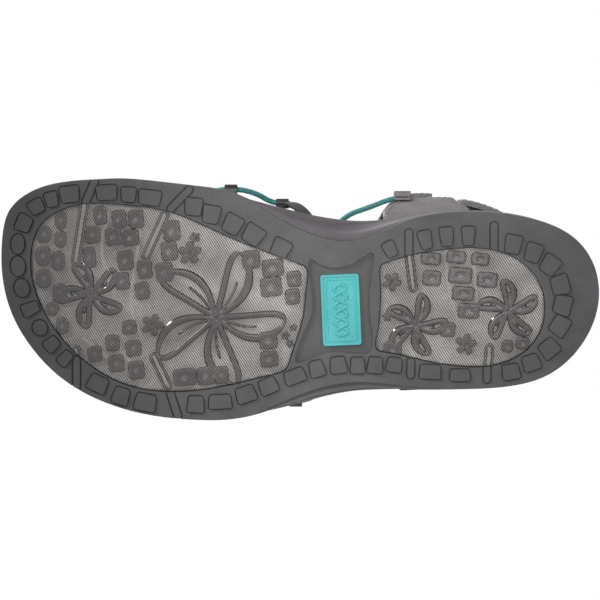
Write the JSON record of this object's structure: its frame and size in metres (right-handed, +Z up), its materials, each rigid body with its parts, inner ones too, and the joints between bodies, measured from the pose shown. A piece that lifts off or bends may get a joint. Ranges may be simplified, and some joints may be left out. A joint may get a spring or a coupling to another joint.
{
  "type": "sport sandal",
  "caption": "Open right-foot sport sandal: lugged rubber sole with clear tread windows, foam midsole, webbing loops laced with elastic cord, adjustable instep strap and heel strap.",
  "frame": {"origin": "centre of the sandal's plan box, on the ground that the lugs stand on", "axes": "+Z up, +Y from toe to heel, +X from the outer side to the big-toe side of this right-foot sandal"},
  "size_m": [0.1071, 0.2646, 0.1011],
  "materials": {
    "outsole_rubber": "moulded, satin",
    "clear_rubber": "clear, glossy",
    "ribbed_cloth": "fine ribs",
    "badge_rubber": "moulded, satin",
    "midsole_foam": "moulded foam skin",
    "lasting_board": "pressed fibre",
    "footbed_foam": "open-cell foam",
    "cover_cloth": "brushed knit",
    "strap_synthetic": "synthetic nubuck",
    "lining_cloth": "soft knit",
    "webbing": "woven tape",
    "cord_elastic": "braided elastic",
    "hook_loop": "hook and loop",
    "ring_plastic": "moulded"
  },
  "bodies": {
    "sandal": {"outsole": "outsole_rubber", "forefoot_tread": "clear_rubber", "heel_tread": "clear_rubber", "forefoot_liner": "ribbed_cloth", "heel_liner": "ribbed_cloth", "shank_badge": "badge_rubber", "midsole": "midsole_foam", "insole_board": "lasting_board", "footbed_foam": "footbed_foam", "footbed_cover": "cover_cloth", "front_strap": "strap_synthetic", "front_strap_lining": "lining_cloth", "medial_quarter": "strap_synthetic", "medial_quarter_lining": "lining_cloth", "lateral_quarter": "strap_synthetic", "lateral_quarter_lining": "lining_cloth", "medial_front_loop": "webbing", "medial_middle_loop": "webbing", "lateral_front_loop": "webbing", "lateral_middle_loop": "webbing", "cord_sleeve": "webbing", "bungee_cord": "cord_elastic", "instep_strap": "strap_synthetic", "instep_pad": "lining_cloth", "loop_patch": "hook_loop", "ring_keeper": "webbing"},
    "heel_sling": {"heel_strap": "strap_synthetic", "heel_strap_pad": "footbed_foam", "heel_strap_lining": "lining_cloth"},
    "adjuster": {"hook_patch": "hook_loop", "adjuster_tab": "strap_synthetic"},
    "ring": {"strap_ring": "ring_plastic"}
  },
  "joints": [
    {"name": "heel_strap_swing", "type": "hinge", "parent": "sandal", "child": "heel_sling", "pos_m": [-0.00097, 0.05906, 0.0555], "axis": [1, 0, 0], "range_deg": [-15, 40]},
    {"name": "adjuster_peel", "type": "hinge", "parent": "sandal", "child": "adjuster", "pos_m": [-0.03887, 0.04598, 0.07721], "axis": [0, -0.9397, -0.342], "range_deg": [0, 100]},
    {"name": "ring_swing", "type": "hinge", "parent": "sandal", "child": "ring", "pos_m": [-0.0433, 0.04886, 0.06928], "axis": [0, 0.9397, 0.342], "range_deg": [-5, 5]}
  ]
}
